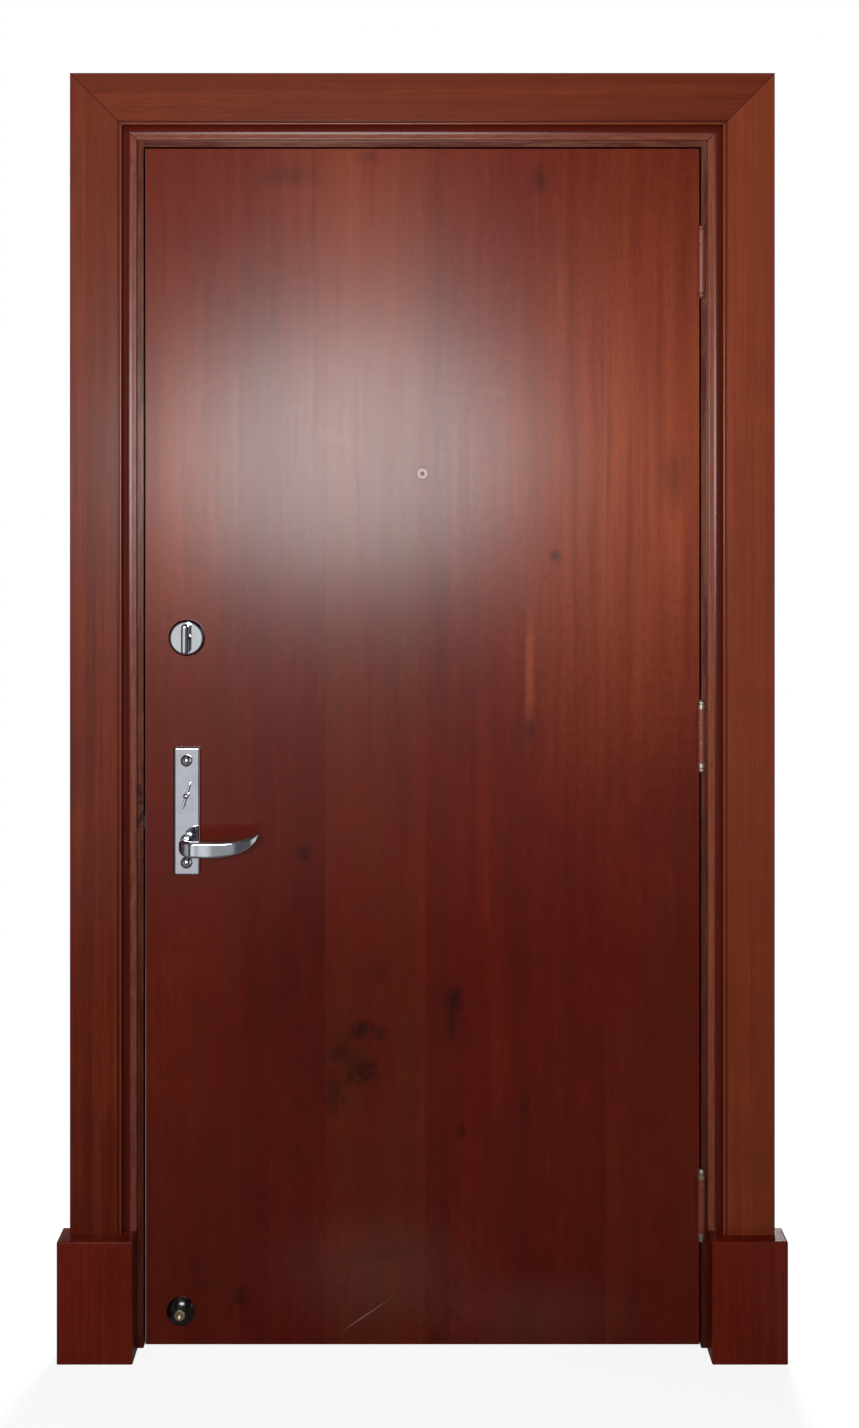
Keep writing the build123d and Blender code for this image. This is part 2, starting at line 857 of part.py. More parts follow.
def snib_turn():
    bar = rounded_bar(snib_length, snib_width, snib_thickness, snib_arris)
    bar = Pos(0, 0, snib_stand) * Rot(0, 0, -snib_lean) * bar
    hub = dome(snib_hub_radius, snib_hub_rim, snib_hub_height)
    turn = on_leaf(Pos(0, 0, plate_thickness) * (bar + hub), lock_x, snib_height, room)
    half = snib_cam_half_thickness
    turn += rod_y(snib_spindle_radius, plate_front, half, lock_x, snib_height)
    return turn + rod_y(snib_cam_radius, -half, half, lock_x, snib_height)


def lock_bolt():
    thick, tall = lock_bolt_half_thickness, lock_bolt_half_height
    heel = leaf_left + lock_bolt_length
    return block(leaf_left, heel, -thick, thick, snib_height - tall, snib_height + tall)


# Dead bolt


def deadbolt_forend_blank():
    half, tall = deadbolt_forend_half_width, deadbolt_forend_half_height
    return block(leaf_left, case_front, -half, half, deadbolt_height - tall, deadbolt_height + tall)


def deadbolt_forend():
    plate = deadbolt_forend_blank()
    plate -= rod_x(dead_bolt_radius + bolt_clearance, leaf_left, case_front, 0, deadbolt_height)
    for height in deadbolt_screw_heights():
        plate -= screw_x(leaf_left, 0, height, hinge_side, screw_clearance)
    return plate


def deadbolt_case():
    tube = rod_x(tube_radius, case_front, tube_end, 0, deadbolt_height)
    bore_end = leaf_left + dead_bolt_length + slide_clearance
    tube -= rod_x(dead_bolt_radius + bolt_clearance, case_front, bore_end, 0, deadbolt_height)
    tail_hole = turn_tail_radius + turn_clearance
    return tube - rod_y(tail_hole, leaf_front, leaf_back, lock_x, deadbolt_height)


def dead_bolt():
    bolt = rod_x(dead_bolt_radius, leaf_left, leaf_left + dead_bolt_length, 0, deadbolt_height)
    return chamfer(bolt.edges().sort_by(Axis.X)[0], dead_bolt_chamfer)


def deadbolt_rose():
    inner, bore = rose_radius - rose_wall, turn_hub_radius + turn_clearance
    ceiling = rose_height - rose_skin
    outline = [
        (inner, 0),
        (rose_radius, 0),
        (rose_radius, rose_height - rose_bevel_height),
        (rose_radius - rose_bevel_width, rose_height),
        (bore, rose_height),
        (bore, ceiling),
        (inner, ceiling),
    ]
    return on_leaf(turned(outline), lock_x, deadbolt_height, room)


def thumb_turn():
    hub_top = rose_height + turn_hub_height
    bar = rounded_bar(turn_length, turn_width, turn_reach - turn_hub_height, turn_arris)
    bar = Pos(0, 0, hub_top) * bar
    hub = Cylinder(turn_hub_radius, hub_top, align=standing)
    tail_end = leaf_back - outer_core_length + turn_clearance
    tail = rod_y(turn_tail_radius, leaf_front, tail_end, lock_x, deadbolt_height)
    return on_leaf(bar + hub, lock_x, deadbolt_height, room) + tail


def deadbolt_cylinder():
    outline = [
        (0, -outer_core_length),
        (outer_core_radius, -outer_core_length),
        (outer_core_radius, 0),
        (outer_collar_radius, 0),
        (outer_collar_radius, outer_collar_rim),
        (outer_collar_face_radius, outer_collar_height),
        (0, outer_collar_height),
    ]
    collar = on_leaf(turned(outline), lock_x, deadbolt_height, outdoors)
    socket, core_end = turn_tail_radius + turn_clearance, leaf_back - outer_core_length
    socket_end = leaf_back - outer_core_length / 2
    collar -= rod_y(socket, core_end, socket_end, lock_x, deadbolt_height)
    return collar - keyway(lock_x, leaf_back + outer_collar_height, deadbolt_height)


# Door viewer and door stop


def viewer_half(way):
    outline = [
        (viewer_bore_radius, leaf_front),
        (viewer_tube_radius, leaf_front),
        (viewer_tube_radius, 0),
        (viewer_flange_radius, 0),
        (viewer_flange_radius, viewer_flange_height - viewer_bevel),
        (viewer_flange_radius - viewer_bevel, viewer_flange_height),
        (viewer_bore_radius, viewer_flange_height),
    ]
    return on_leaf(turned(outline), 0, viewer_height, way)


def viewer_lens():
    lens = Cylinder(viewer_bore_radius, viewer_lens_thickness, align=standing)
    lens = Pos(0, 0, -viewer_lens_depth) * lens
    return group([on_leaf(lens, 0, viewer_height, way) for way in (room, outdoors)])


def door_stop_base():
    base = dome(stop_base_radius, stop_base_rim, stop_base_height)
    base -= Cylinder(stop_screw_radius + screw_clearance, stop_base_height, align=standing)
    seat = Cylinder(stop_tip_radius + screw_clearance, stop_base_height, align=standing)
    return on_leaf(base - Pos(0, 0, stop_seat_height) * seat, stop_x, stop_height, room)


def door_stop_tip():
    outline = [
        (0, stop_screw_radius - stop_screw_length),
        (stop_screw_radius, stop_screw_radius * 2 - stop_screw_length),
        (stop_screw_radius, stop_seat_height),
        (stop_tip_radius, stop_seat_height),
        (stop_tip_radius, stop_tip_height - stop_tip_bevel),
        (stop_tip_radius - stop_tip_bevel, stop_tip_height),
        (stop_recess_radius, stop_tip_height),
        (stop_recess_radius, stop_tip_height - stop_recess_depth),
        (0, stop_tip_height - stop_recess_depth),
    ]
    return on_leaf(turned(outline), stop_x, stop_height, room)


def all_hinge_screws(side):
    screws = []
    for height in hinge_heights.values():
        screws += hinge_screws(height, side, 0)
    return group(screws)


def edge_screws(x, way):
    return group([screw_x(x, 0, height, way, 0) for height in strike_screw_heights()])


right_casing = hinge_casing()
right_plinth = hinge_plinth()
room_lever = inside_lever()

nodes = {
    "lock_jamb": lock_jamb(),
    "hinge_jamb": hinge_jamb(),
    "head_jamb": head_jamb(),
    "lock_casing": mirror(right_casing, Plane.YZ),
    "hinge_casing": right_casing,
    "head_casing": head_casing(),
    "lock_plinth": mirror(right_plinth, Plane.YZ),
    "hinge_plinth": right_plinth,
    "lock_seal": side_seal(lock_side),
    "hinge_seal": side_seal(hinge_side),
    "head_seal": head_seal(),
    "latch_strike": latch_strike(),
    "deadbolt_strike": deadbolt_strike(),
    "strike_screws": edge_screws(strike_face, lock_side),
    "frame_hinge_screws": all_hinge_screws(hinge_side),
    "hinge_pins": hinge_pins(),
    "hinge_tips": hinge_tips(),
    "front_panel": front_panel(),
    "back_panel": skin(outdoors),
    "lock_stile": lock_stile(),
    "hinge_stile": hinge_stile(),
    "top_rail": rail(leaf_top - rail_height, leaf_top),
    "bottom_rail": rail(leaf_bottom, leaf_bottom + rail_height),
    "core": core(),
    "leaf_hinge_screws": all_hinge_screws(lock_side),
    "lock_forend": lock_forend(),
    "lock_case": lock_case(),
    "lock_cover": lock_cover(),
    "inside_plate": inside_plate(),
    "outside_plate": outside_plate(),
    "plate_bolts": plate_bolts(),
    "lever_bushes": lever_bushes(),
    "key_cylinder": key_cylinder(),
    "forend_screws": edge_screws(leaf_left, hinge_side),
    "deadbolt_forend": deadbolt_forend(),
    "deadbolt_case": deadbolt_case(),
    "deadbolt_rose": deadbolt_rose(),
    "deadbolt_cylinder": deadbolt_cylinder(),
    "viewer_inner": viewer_half(room),
    "viewer_outer": viewer_half(outdoors),
    "viewer_lens": viewer_lens(),
    "door_stop_base": door_stop_base(),
    "door_stop_tip": door_stop_tip(),
    "inside_lever": room_lever,
    "outside_lever": mirror(room_lever, Plane.XZ),
    "lever_spindle": lever_spindle(),
    "lever_follower": lever_follower(),
    "latch_bolt": latch_bolt(),
    "thumb_turn": thumb_turn(),
    "dead_bolt": dead_bolt(),
    "snib_turn": snib_turn(),
    "lock_bolt": lock_bolt(),
}

for place, height in hinge_heights.items():
    nodes[f"hinge_{place}_frame_leaf"] = hinge_plate(height, hinge_side, frame_knuckles, door_knuckles)
    nodes[f"hinge_{place}_door_leaf"] = hinge_plate(height, lock_side, door_knuckles, frame_knuckles)

for name, solid in nodes.items():
    export_step(solid, f"parts/{name}.step")
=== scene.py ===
import json
import math

import bpy
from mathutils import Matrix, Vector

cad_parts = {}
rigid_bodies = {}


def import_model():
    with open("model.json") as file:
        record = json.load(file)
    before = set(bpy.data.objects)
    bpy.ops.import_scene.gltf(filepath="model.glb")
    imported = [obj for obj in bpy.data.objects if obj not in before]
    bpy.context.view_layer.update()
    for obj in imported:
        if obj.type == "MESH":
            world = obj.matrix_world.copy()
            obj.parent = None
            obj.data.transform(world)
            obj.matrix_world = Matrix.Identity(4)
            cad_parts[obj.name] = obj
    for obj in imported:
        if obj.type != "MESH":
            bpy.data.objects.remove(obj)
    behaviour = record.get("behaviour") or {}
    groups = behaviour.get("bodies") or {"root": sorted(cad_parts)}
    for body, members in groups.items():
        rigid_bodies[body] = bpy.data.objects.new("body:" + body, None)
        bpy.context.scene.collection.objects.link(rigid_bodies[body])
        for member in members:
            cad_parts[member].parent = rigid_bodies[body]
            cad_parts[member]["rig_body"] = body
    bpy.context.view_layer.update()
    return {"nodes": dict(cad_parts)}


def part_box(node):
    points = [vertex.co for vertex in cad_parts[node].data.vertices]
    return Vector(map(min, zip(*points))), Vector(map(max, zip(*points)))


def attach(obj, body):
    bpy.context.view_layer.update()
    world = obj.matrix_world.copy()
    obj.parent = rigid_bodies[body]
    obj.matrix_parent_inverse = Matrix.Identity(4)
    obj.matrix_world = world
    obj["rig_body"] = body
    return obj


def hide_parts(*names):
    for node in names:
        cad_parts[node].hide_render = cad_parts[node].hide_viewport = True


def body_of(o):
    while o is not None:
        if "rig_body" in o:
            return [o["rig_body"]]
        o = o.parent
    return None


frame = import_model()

nodes = frame["nodes"]

# Lengths are in metres. +Z is up, the room is on the -Y side and the hinges are on the +X side.

# Camera
camera_place = (0, -2.4225, 1.525)
camera_lens = 35.3
camera_sensor = 36
camera_shift = (0.005, -0.179)

# Light: a broad lamp beside the camera, tilted up, a weak one above it and one behind the door
key_place = (-0.28, -2.62, 1.56)
key_size = (1.32, 0.92)
key_power = 79
top_place = (-0.15, -2.62, 2.15)
top_size = (0.9, 0.8)
top_power = 4
front_tilt = 24
front_turn = (90 + front_tilt, 0, 0)
back_place = (0.6, 3.2, 1.7)
back_size = (1.6, 1.6)
back_power = 120
back_turn = (90, 0, 180)
fill_level = 0.08

# The room that metal mirrors, from its left side: a first brightness, then the start, end and size of changes
left_level = 0.42
mirrored_bands = (
    (-0.66, -0.58, -0.37),
    (-0.44, -0.34, 0.95),
    (-0.13, -0.05, -0.60),
    (0.28, 0.38, -0.30),
)
# A bright strip far to the right
strip_ways = (0.75, 0.93)
strip_level = 0.8
# The room is dimmer to the sides of the door, low down and high up
side_ways = (0.08, 0.50)
side_level = 0.12
low_ways = (-0.44, -0.27)
low_level = 0.25
top_ways = (-0.08, 0.06)
top_level = 0.45
room_dark = "#2c2431"
room_white = "#ffffff"

# Floor
floor_radius = 2.6
floor_sides = 96
floor_colour = "#a8a8a8"
floor_rough = 0.9
floor_gloss = 0.1
floor_fade = (1.1, 2.45)
floor_glow = 0.8

# Settings that many nodes share
soft_step = {"interpolation_type": "SMOOTHSTEP"}
colours = {"data_type": "RGBA"}
grain_noise = {"Detail": 3, "Roughness": 0.55}
ragged_noise = {"Detail": 4, "Roughness": 0.6}

# Stained and varnished wood. Grain is given in layers: width, length and strength
stain_tones = (0.32, 0.5, 0.68)
pore_layers = ((0.0015, 0.030, 1),)
pore_limits = (0.56, 0.74)
pore_strength = 0.45
pore_colour = "#220705"
varnish_index = 1.5
varnish_level = 0.20
varnish_change = 0.12
varnish_relief = 0.10
relief_depth = 0.0005
solid_broad = ((0.022, 1.1, 0.34), (0.12, 0.12, 0.20))
solid_fine = ((0.006, 0.35, 0.6), (0.0024, 0.06, 0.4))
solid_fine_share = 0.35
solid_middle = 0.175
solid_rough = 0.25

# Veneer of the leaf
leaf_stain = ("#400b06", "#581108", "#70200f")
leaf_brown = "#54230f"
leaf_broad = (
    (0.050, 1.3, 0.22),
    (0.014, 0.5, 0.07),
    (0.10, 0.16, 0.14),
    (0.28, 0.5, 0.22),
    (0.024, 0.06, 0.16),
    (0.007, 0.05, 0.07),
)
leaf_fine = ((0.009, 0.42, 0.6), (0.0026, 0.07, 0.4))
leaf_fine_share = 0.09
leaf_middle = 0.555
leaf_rough = 0.255
sway_scale = 3
sway_detail = 2
sway_reach = (0.03, 0, 0)
brown_layers = ((0.06, 0.35, 1),)
brown_limits = (0.3, 0.7)
brown_shares = (0.3, 1.3)
outside_shift = 1.7
# Joins of its boards, from the lock side
board_edges = (-0.312, -0.166, 0.005, 0.048, 0.117, 0.314)
join_softness = 0.002
# Each board: tone, brownness and a shift of its grain
board_tones = (
    (0.50, 0.25, 0.10),
    (0.46, 0.10, 0.55),
    (0.53, 0.45, 0.33),
    (0.47, 0.20, 0.81),
    (0.51, 0.10, 0.22),
    (0.50, 0.15, 0.67),
    (0.52, 0.25, 0.95),
)
board_shift = (3.1, 0, 5.3)

# Marks on the room side of the leaf: middle across and up, half width, half height, lean in degrees, strength
knots = (
    (-0.104, 0.545, 0.028, 0.018, -20, 0.75),
    (-0.072, 0.537, 0.016, 0.014, 0, 0.60),
    (-0.140, 0.508, 0.026, 0.024, 0, 0.45),
    (-0.102, 0.472, 0.034, 0.026, 0, 0.65),
    (-0.152, 0.432, 0.022, 0.045, 0, 0.50),
    (-0.120, 0.500, 0.070, 0.085, 0, 0.28),
    (-0.075, 0.644, 0.026, 0.020, 0, 0.35),
    (0.054, 0.598, 0.018, 0.026, 0, 0.80),
    (0.050, 0.552, 0.010, 0.040, 0, 0.50),
    (0.040, 0.570, 0.050, 0.070, 0, 0.20),
    (0.068, 0.370, 0.009, 0.022, 0, 0.70),
    (0.176, 0.410, 0.010, 0.045, 0, 0.45),
    (-0.202, 0.847, 0.016, 0.018, 0, 0.75),
    (-0.200, 0.780, 0.014, 0.060, 0, 0.30),
    (-0.230, 2.010, 0.060, 0.022, 0, 0.35),
    (0.202, 2.003, 0.016, 0.030, 0, 0.60),
    (-0.091, 2.041, 0.026, 0.012, 0, 0.40),
    (0.228, 1.358, 0.012, 0.014, 0, 0.75),
    (0.185, 1.061, 0.009, 0.024, 0, 0.60),
    (0.432, 1.490, 0.026, 0.070, 0, 0.40),
    (-0.312, 0.088, 0.018, 0.022, 0, 0.55),
    (-0.064, 0.162, 0.070, 0.016, -8, 0.40),
)
knot_colour = "#260b07"
knot_strength = 0.9
knot_ragged = 1.6
flames = (
    (0.360, 1.500, 0.290, 0.500, 0, 0.74),
    (-0.120, 1.880, 0.210, 0.420, 0, 0.32),
    (-0.420, 1.500, 0.110, 0.330, 0, 0.42),
    (0.184, 1.150, 0.010, 0.110, 0, 0.55),
    (0.430, 1.420, 0.030, 0.160, 0, 0.25),
)
flame_colour = "#8f4024"
flame_ragged = 0.5
flame_layers = ((0.020, 0.5, 1),)
flame_limits = (0.2, 0.8)
flame_shares = (0.45, 1.4)
scuffs = (
    (-0.096, 0.057, 0.0012, 0.052, 56, 0.55),
    (-0.150, 1.560, 0.055, 0.016, 20, 0.06),
    (-0.215, 1.610, 0.030, 0.012, -30, 0.06),
    (0.120, 1.640, 0.030, 0.012, 12, 0.05),
    (-0.080, 0.130, 0.200, 0.110, 0, 0.055),
    (0.190, 0.060, 0.190, 0.070, 0, 0.045),
)
scuff_colour = "#b08a80"
scuff_ragged = 0.7
mark_fade = (1.3, 0.05)
ragged_size = 0.012
# The wood is painted paler towards the top, as painted light, by this much between these heights
top_light_heights = (0.6, 1.6)
top_light_strength = 0.13
# Worn arris of the leaf at the lock side, more worn lower down
worn_edge = (-0.4728, -0.4745)
worn_heights = (0.9, 0.3)
worn_shares = (0.12, 0.8)
worn_colour = "#a8958c"

# Casing: stains from dark to light, of which the hinge side's are warmer. All three are painted paler towards
# the top, as painted light
deep_stain = ("#3a0d06", "#5a1a0b", "#763016")
warm_stain = ("#52180a", "#72260f", "#903f20")
casing_pale_tone = "#7a3e27"
casing_top_light_heights = (0.3, 1.9)
lock_top_light_shares = (0, 0.30)
hinge_warm_and_top_light_shares = (0.30, 0.50)
head_top_light_shares = (0, 0.28)
# Places across the casing, from the doorway
casing_side = 0.488
casing_top = 2.069
cove_start = 0.0085
cove_deep = 0.0125
cove_end = 0.0232
# The dark red of the cove is painted shade
cove_shade_colour = "#470c05"
cove_shade_strength = 0.85
# The pale lip is a painted highlight
lip_highlight_colour = "#875648"
lip_layers = ((0.004, 0.03, 1),)
lip_limits = (0.3, 0.65)
lip_shares = (0.15, 0.45)
bead_middle = 0.025
# The bead's lighter colour is a painted highlight
bead_highlight_colour = "#8f4322"
bead_highlight_strength = 0.5
groove_places = ((0.0225, 0.5), (0.0290, 0.65))
groove_softness = 0.0022
# Dark tint: painted shade in the grooves, and dirt in the mitres
groove_shade_and_mitre_dirt = "#1d0705"
mitre_softness = 0.0022
mitre_strength = 0.75

# Jambs
jamb_stain = ("#2c0d08", "#45150c", "#5a2214")
jamb_front = (-0.0195, -0.0222)
# The jamb's pale front: partly wear, partly a painted sheen, painted weaker lower down as painted shade
jamb_wear_and_sheen_colour = "#6b4031"
jamb_wear_and_sheen_layers = ((0.004, 0.05, 0.7), (0.05, 0.25, 0.8))
jamb_wear_and_sheen_limits = (0.35, 0.7)
jamb_wear_and_sheen_shares = (0.1, 0.85)
jamb_shade_heights = (0.3, 1.3)
jamb_shaded_low_share = 0.3
# Chips in the lock jamb beside the latch: their size, and their middle, reach and strength up the jamb
chip_side = 0.2
chip_size = 0.014
chip_detail = 3
chip_limits = (0.52, 0.60)
chipped = (0.93, 0.19, 0.9)
chip_colour = "#1c0a07"

# Other wood
plinth_stain = ("#4a1109", "#681b0c", "#7a2914")
edge_stain = ("#40130b", "#5f2013", "#7c3420")

# Metal and plastic finishes: patches that drift in colour and gloss
patch_detail = 3
patch_limits = (0.3, 0.7)
chrome_rough = 0.08
chrome_rough_change = 0.03
chrome_patch = 0.02
chrome_colours = ("#c4c9d1", "#ced1d6")
rose_colours = ("#b4b8bc", "#c6c9c8")
plate_colours = ("#a2a4ad", "#c0c1c9")
# A dark tint on chrome that is painted reflection and shade: on the rim of the rose, the edges of the plate and
# the flanks of the turn
chrome_painted_reflection = "#33252c"
rose_low, rose_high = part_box("deadbolt_rose")
rose_middle = [(low + high) / 2 for low, high in zip(rose_low, rose_high)]
rose_rim = (0.0256, 0.0268)
rose_strength = 0.9
plate_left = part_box("inside_plate")[0][0]
plate_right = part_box("inside_plate")[1][0]
plate_painted_reflection_reach = (0.0030, 0.0055)
plate_left_strength = 0.85
plate_right_strength = 0.6
turn_painted_reflection_reach = (0.0024, 0.0042)
turn_strength = 0.85

# Hinges: the heights of the worn ends of the lower two and how worn they are
worn_hinge_ends = ((1.107, 1), (0.995, 1), (0.305, 0.9), (0.193, 0.9))
worn_end_reach = (0.016, 0.006)
worn_end_limits = (1.05, 1.25)
blots_per_metre = 140
blot_detail = 4
blot_share = 0.9
worn_blot_limits = (0.66, 0.76)
worn_blot_strength = 0.35
hinge_coating = ("#5a2015", "#8a4432")
hinge_bare = "#b9a79a"
hinge_rough = (0.34, 0.5)
hinge_relief = 0.15


def colour(code):
    """Linear colour of an sRGB hex value."""
    parts = [int(code[i:i + 2], 16) / 255 for i in (1, 3, 5)]
    return [p / 12.92 if p <= 0.04045 else ((p + 0.055) / 1.055) ** 2.4 for p in parts] + [1]


def fill(tree, node, inputs):
    """Sets the inputs of a node, or links them to a socket or to a node's first output in use."""
    # By number, Map Range has its value at 0, the limits at 1 and 2 and the results at 3 and 4, and a colour
    # Mix has its factor at 0 and the two colours at 6 and 7.
    for key, value in inputs.items():
        if isinstance(value, bpy.types.Node):
            value = next(socket for socket in value.outputs if socket.enabled)
        if isinstance(value, bpy.types.NodeSocket):
            tree.links.new(value, node.inputs[key])
        else:
            node.inputs[key].default_value = value


def add(tree, kind, inputs=None, **settings):
    """Adds a node with its settings and links."""
    node = tree.nodes.new("ShaderNode" + kind)
    for name, value in settings.items():
        setattr(node, name, value)
    fill(tree, node, inputs or {})
    return node


def new_material(name):
    material = bpy.data.materials.new(name)
    material.use_nodes = True
    tree = material.node_tree
    place = add(tree, "TexCoord").outputs["Object"]
    return material, tree, tree.nodes["Principled BSDF"], place


def grain(tree, place, along, layers):
    """Wood grain around 0.5: noises drawn out along it, each with a width, a length and a strength."""
    total = 0.5 - sum(strength for _, _, strength in layers) / 2
    for wide, long, strength in layers:
        sizes = (long, wide, wide) if along == "X" else (wide, wide, long)
        drawn = add(tree, "VectorMath", {0: place, 1: [1 / size for size in sizes]}, operation="MULTIPLY")
        noise = add(tree, "TexNoise", {"Vector": drawn, "Scale": 1, **grain_noise})
        total = add(tree, "Math", {0: noise, 1: strength, 2: total}, operation="MULTIPLY_ADD")
    return total


def marks(tree, place, spots, ragged):
    """Soft marks at given places on the leaf, as one mask, with edges ragged by a noise."""
    noise = add(tree, "TexNoise", {"Vector": place, "Scale": 1 / ragged_size, **ragged_noise})
    edge = add(tree, "Math", {0: noise, 1: ragged, 2: -ragged / 2}, operation="MULTIPLY_ADD")
    total = 0
    for x, z, wide, tall, lean, strength in spots:
        turned = (0, math.radians(lean), 0)
        settled = {"Vector": place, "Location": (x, 0, z), "Rotation": turned, "Scale": (wide, 1, tall)}
        off = add(tree, "Mapping", settled, vector_type="TEXTURE")
        far = add(tree, "VectorMath", {0: off}, operation="LENGTH")
        far = add(tree, "Math", {0: far, 1: edge}, operation="ADD")
        mark = add(tree, "MapRange", {0: far, 1: mark_fade[0], 2: mark_fade[1], 4: strength}, **soft_step)
        total = add(tree, "Math", {0: mark, 1: total}, operation="ADD")
    return total


def boards(tree, across):
    """Tone, brownness and grain shift of the board at a place, as one vector."""
    total = board_tones[0]
    for edge, before, after in zip(board_edges, board_tones, board_tones[1:]):
        change = [b - a for a, b in zip(before, after)]
        step = add(tree, "MapRange", {0: across, 1: edge - join_softness, 2: edge + join_softness}, **soft_step)
        total = add(tree, "VectorMath", {0: step, 1: change, 2: total}, operation="MULTIPLY_ADD")
    return total


def stained(tree, tone, dark, middle, light):
    """Stain colours from dark to light by the tone of the grain."""
    low = add(tree, "MapRange", {0: tone, 1: stain_tones[0], 2: stain_tones[1]})
    high = add(tree, "MapRange", {0: tone, 1: stain_tones[1], 2: stain_tones[2]})
    wood = add(tree, "Mix", {0: low, 6: colour(dark), 7: colour(middle)}, **colours)
    return add(tree, "Mix", {0: high, 6: wood, 7: colour(light)}, **colours)


def pored(tree, place, along, wood):
    """Dark pores in the wood, drawn 1.5 mm wide instead of the real 0.3 mm, so that they can be seen."""
    pores = grain(tree, place, along, pore_layers)
    low, high = pore_limits
    pores = add(tree, "MapRange", {0: pores, 1: low, 2: high, 4: pore_strength}, **soft_step)
    return add(tree, "Mix", {0: pores, 6: wood, 7: colour(pore_colour)}, **colours)


def varnish(tree, shader, wood, fine, rough):
    """Satin varnish: its gloss and a faint relief follow the fine grain."""
    smoothest = rough - varnish_change / 2
    gloss = add(tree, "Math", {0: fine, 1: varnish_change, 2: smoothest}, operation="MULTIPLY_ADD")
    relief = add(tree, "Bump", {"Height": fine, "Strength": varnish_relief, "Distance": relief_depth})
    fill(tree, shader, {"Base Color": wood, "Roughness": gloss, "Normal": relief, "IOR": varnish_index,
                        "Specular IOR Level": varnish_level})


def flamed(tree, place, moved, up, wood):
    """Warm flames in streaks along the grain, with painted light that makes the wood paler towards the top."""
    # Painted light: the wood is paler towards the top
    low, high = top_light_heights
    faded = add(tree, "MapRange", {0: up, 1: low, 2: high, 4: top_light_strength}, **soft_step)
    warm = add(tree, "Math", {0: marks(tree, place, flames, flame_ragged), 1: faded}, operation="ADD")
    streak = grain(tree, moved, "Z", flame_layers)
    streak = add(tree, "MapRange", {0: streak, 1: flame_limits[0], 2: flame_limits[1],
                                    3: flame_shares[0], 4: flame_shares[1]})
    warm = add(tree, "Math", {0: warm, 1: streak}, operation="MULTIPLY")
    return add(tree, "Mix", {0: warm, 6: wood, 7: colour(flame_colour)}, **colours)


def worn(tree, across, up, wood):
    """The rubbed arris of the leaf at the lock side."""
    edge = add(tree, "MapRange", {0: across, 1: worn_edge[0], 2: worn_edge[1]}, **soft_step)
    amount = add(tree, "MapRange", {0: up, 1: worn_heights[0], 2: worn_heights[1],
                                    3: worn_shares[0], 4: worn_shares[1]}, **soft_step)
    edge = add(tree, "Math", {0: edge, 1: amount}, operation="MULTIPLY")
    return add(tree, "Mix", {0: edge, 6: wood, 7: colour(worn_colour)}, **colours)


def room_marks(tree, place, moved, wood):
    """Painted light paler towards the top, flames, knots, scuffs and the worn edge that the room side of the
    leaf has.
    """
    apart = add(tree, "SeparateXYZ", {0: place}).outputs
    wood = flamed(tree, place, moved, apart["Z"], wood)
    knot = marks(tree, place, knots, knot_ragged)
    knot = add(tree, "Math", {0: knot, 1: knot_strength}, operation="MULTIPLY")
    wood = add(tree, "Mix", {0: knot, 6: wood, 7: colour(knot_colour)}, **colours)
    scuff = marks(tree, place, scuffs, scuff_ragged)
    wood = add(tree, "Mix", {0: scuff, 6: wood, 7: colour(scuff_colour)}, **colours)
    return worn(tree, apart["X"], apart["Z"], wood)


def leaf_veneer(name, shift, marked):
    """One face of the leaf, with the marks of the room side or without."""
    # Mahogany veneer laid in upright boards, stained and varnished satin: deep red-brown with quiet upright
    # grain, a few dark knots and warm flames, and a broad soft sheen that breaks up along the grain.
    material, tree, shader, place = new_material(name)
    across = add(tree, "SeparateXYZ", {0: place}).outputs["X"]
    board = add(tree, "SeparateXYZ", {0: boards(tree, across)}).outputs
    sway = add(tree, "TexNoise", {"Vector": place, "Scale": sway_scale, "Detail": sway_detail}).outputs["Color"]
    swayed = add(tree, "VectorMath", {0: sway, 1: sway_reach, 2: place}, operation="MULTIPLY_ADD")
    moved = add(tree, "VectorMath", {0: board["Z"], 1: board_shift, 2: swayed}, operation="MULTIPLY_ADD")
    moved = add(tree, "VectorMath", {0: moved, 1: (shift, 0, shift)}, operation="ADD")
    broad = grain(tree, moved, "Z", leaf_broad)
    fine = grain(tree, moved, "Z", leaf_fine)
    tone = add(tree, "Math", {0: fine, 1: leaf_fine_share, 2: broad}, operation="MULTIPLY_ADD")
    tone = add(tree, "Math", {0: tone, 1: board["X"]}, operation="ADD")
    tone = add(tree, "Math", {0: tone, 1: leaf_middle}, operation="SUBTRACT")
    wood = stained(tree, tone, *leaf_stain)
    brown = grain(tree, moved, "Z", brown_layers)
    brown = add(tree, "MapRange", {0: brown, 1: brown_limits[0], 2: brown_limits[1],
                                   3: brown_shares[0], 4: brown_shares[1]})
    brown = add(tree, "Math", {0: brown, 1: board["Y"]}, operation="MULTIPLY")
    wood = add(tree, "Mix", {0: brown, 6: wood, 7: colour(leaf_brown)}, **colours)
    if marked:
        wood = room_marks(tree, place, moved, wood)
    varnish(tree, shader, pored(tree, moved, "Z", wood), fine, leaf_rough)
    return material


def solid_wood(name, along, dark, middle, light):
    """Stained and varnished solid wood with its grain along X or Z."""
    material, tree, shader, place = new_material(name)
    broad = grain(tree, place, along, solid_broad)
    fine = grain(tree, place, along, solid_fine)
    tone = add(tree, "Math", {0: fine, 1: solid_fine_share, 2: broad}, operation="MULTIPLY_ADD")
    tone = add(tree, "Math", {0: tone, 1: solid_middle}, operation="SUBTRACT")
    wood = pored(tree, place, along, stained(tree, tone, dark, middle, light))
    varnish(tree, shader, wood, fine, solid_rough)
    return material, tree, shader, place


def tinted(tree, shader, mask, code):
    """Lays another colour over the shader's own by a mask."""
    under = shader.inputs["Base Color"].links[0].from_socket
    fill(tree, shader, {"Base Color": add(tree, "Mix", {0: mask, 6: under, 7: colour(code)}, **colours)})


def distance(tree, value, middle):
    """How far a value is from another, on either side."""
    off = add(tree, "Math", {0: value, 1: middle}, operation="SUBTRACT")
    return add(tree, "Math", {0: off}, operation="ABSOLUTE")


